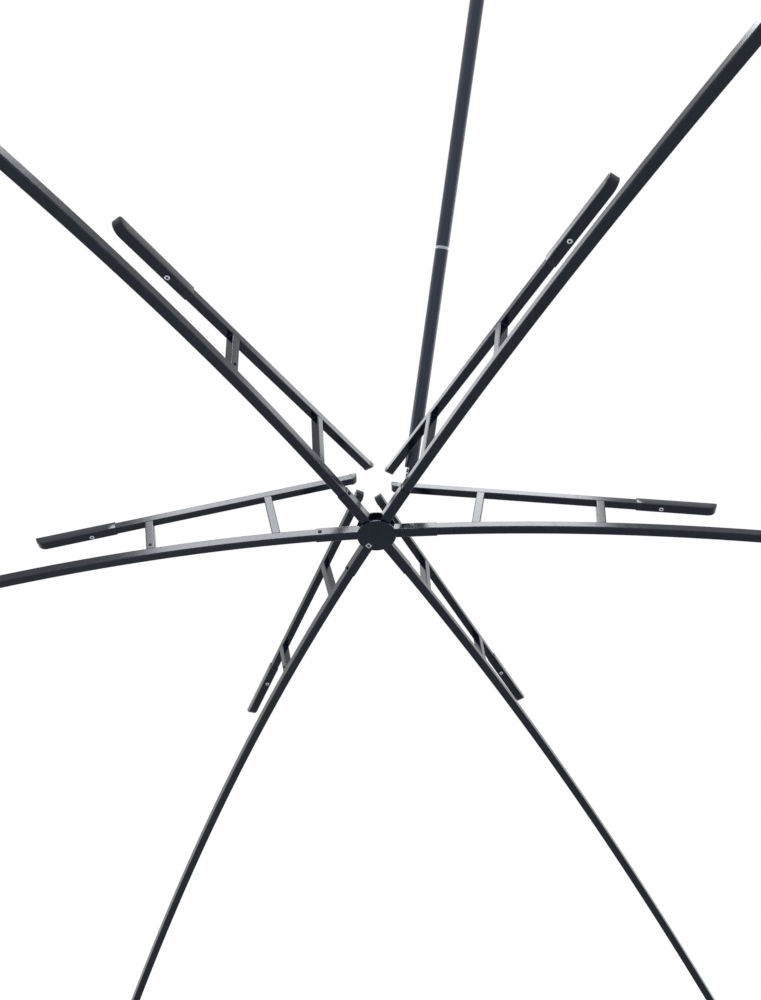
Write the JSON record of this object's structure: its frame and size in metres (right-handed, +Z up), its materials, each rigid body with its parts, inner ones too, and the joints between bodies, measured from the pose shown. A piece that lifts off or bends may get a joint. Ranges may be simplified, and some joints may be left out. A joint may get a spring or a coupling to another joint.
{
  "type": "canopy roof frame",
  "caption": "Hexagonal two-tier canopy roof frame: arched square-tube rafters in a round hub, raised chords on struts with sliding end sleeves, and a round boom.",
  "frame": {"origin": "on the ground under the hub's axis, level with the lowest corners of the six rafter lugs", "axes": "+Z up along the hub's axis, +X along arm 1; the arms are numbered counterclockwise and the boom leaves toward -Y"},
  "size_m": [4.8758, 4.2976, 1.6257],
  "materials": {
    "frame_paint": "semi-gloss dark navy powder coat",
    "boom_paint": "semi-gloss slate powder coat",
    "bright_zinc": "bright zinc plate",
    "black_screw": "black oxide",
    "grey_steel": "dark grey powder coat",
    "black_plastic": "moulded satin",
    "pale_collar": "satin"
  },
  "bodies": {
    "frame": {"hub_bottom_plate": "frame_paint", "hub_core": "frame_paint", "hub_top_plate": "frame_paint", "square_washer": "bright_zinc", "washer_screw": "black_screw", "hub_arm_1": "frame_paint", "hub_arm_2": "frame_paint", "hub_arm_3": "frame_paint", "hub_arm_4": "frame_paint", "hub_arm_5": "frame_paint", "hub_arm_6": "frame_paint", "rafter_1": "frame_paint", "rafter_2": "frame_paint", "rafter_3": "frame_paint", "rafter_4": "frame_paint", "rafter_5": "frame_paint", "rafter_6": "frame_paint", "chord_1": "frame_paint", "chord_2": "frame_paint", "chord_3": "frame_paint", "chord_4": "frame_paint", "chord_5": "frame_paint", "chord_6": "frame_paint", "inner_strut_1": "frame_paint", "inner_strut_2": "frame_paint", "inner_strut_3": "frame_paint", "inner_strut_4": "frame_paint", "inner_strut_5": "frame_paint", "inner_strut_6": "frame_paint", "outer_strut_1": "frame_paint", "outer_strut_2": "frame_paint", "outer_strut_3": "frame_paint", "outer_strut_4": "frame_paint", "outer_strut_5": "frame_paint", "outer_strut_6": "frame_paint", "rafter_bolts": "black_screw", "strut_spigots": "grey_steel", "strut_screws": "black_screw", "chord_plugs": "black_plastic", "rafter_lugs": "grey_steel", "boom_inner_tube": "boom_paint", "boom_outer_tube": "boom_paint", "boom_collar": "pale_collar", "boom_tongue": "grey_steel", "boom_end_cap": "black_plastic", "boom_bracket": "frame_paint", "bracket_bolts": "bright_zinc"},
    "sleeve_body_1": {"sleeve_1": "frame_paint", "sleeve_screw_1": "bright_zinc"},
    "sleeve_body_2": {"sleeve_2": "frame_paint", "sleeve_screw_2": "bright_zinc"},
    "sleeve_body_3": {"sleeve_3": "frame_paint", "sleeve_screw_3": "bright_zinc"},
    "sleeve_body_4": {"sleeve_4": "frame_paint", "sleeve_screw_4": "bright_zinc"},
    "sleeve_body_5": {"sleeve_5": "frame_paint", "sleeve_screw_5": "bright_zinc"},
    "sleeve_body_6": {"sleeve_6": "frame_paint", "sleeve_screw_6": "bright_zinc"}
  },
  "joints": [
    {"name": "sleeve_slide_1", "type": "slide", "parent": "frame", "child": "sleeve_body_1", "axis": [0.9736, -0.0199, -0.2275], "range_m": [-0.022, 0.123]},
    {"name": "sleeve_slide_2", "type": "slide", "parent": "frame", "child": "sleeve_body_2", "axis": [0.504, 0.8332, -0.2275], "range_m": [-0.012, 0.133]},
    {"name": "sleeve_slide_3", "type": "slide", "parent": "frame", "child": "sleeve_body_3", "axis": [-0.4696, 0.8531, -0.2275], "range_m": [-0.007, 0.138]},
    {"name": "sleeve_slide_4", "type": "slide", "parent": "frame", "child": "sleeve_body_4", "axis": [-0.9736, 0.0199, -0.2275], "range_m": [-0.015, 0.13]},
    {"name": "sleeve_slide_5", "type": "slide", "parent": "frame", "child": "sleeve_body_5", "axis": [-0.504, -0.8332, -0.2275], "range_m": [-0.069, 0.076]},
    {"name": "sleeve_slide_6", "type": "slide", "parent": "frame", "child": "sleeve_body_6", "axis": [0.4696, -0.8531, -0.2275], "range_m": [-0.115, 0.03]}
  ]
}
